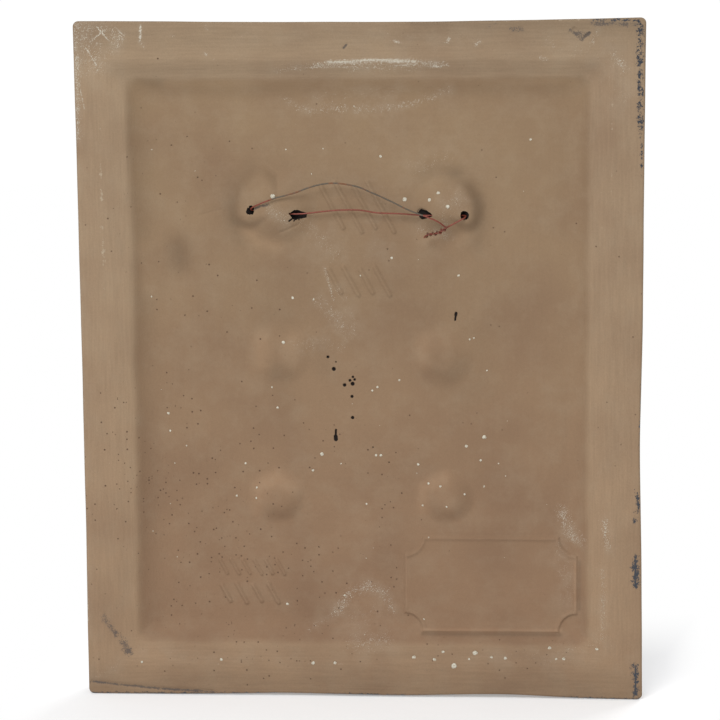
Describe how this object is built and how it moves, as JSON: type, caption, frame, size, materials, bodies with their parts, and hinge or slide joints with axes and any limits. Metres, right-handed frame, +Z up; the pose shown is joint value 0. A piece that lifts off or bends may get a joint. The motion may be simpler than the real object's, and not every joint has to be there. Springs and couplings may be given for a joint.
{
  "type": "decorative wall plaque",
  "caption": "Rectangular stoneware wall plaque with a raised rim, a recessed back with round bosses, a blank cartouche, relief rosettes on the front and a loop of hanging wire.",
  "frame": {"origin": "the hanging point: the underside of the wire's upper run, above the middle of the slab's width, 3 mm in front of the wall", "axes": "+Z up, +X to the right seen from the decorated front, +Y from the front towards the wall"},
  "size_m": [0.3, 0.02, 0.364],
  "materials": {
    "clay": "matt unglazed brown stoneware on the back, dark glaze over the front's field, lime and glaze specks",
    "enamelled_wire": "thin copper wire with red enamel, worn grey along the upper run"
  },
  "bodies": {
    "root": {"plaque": "clay", "hanging_wire": "enamelled_wire"}
  },
  "joints": []
}
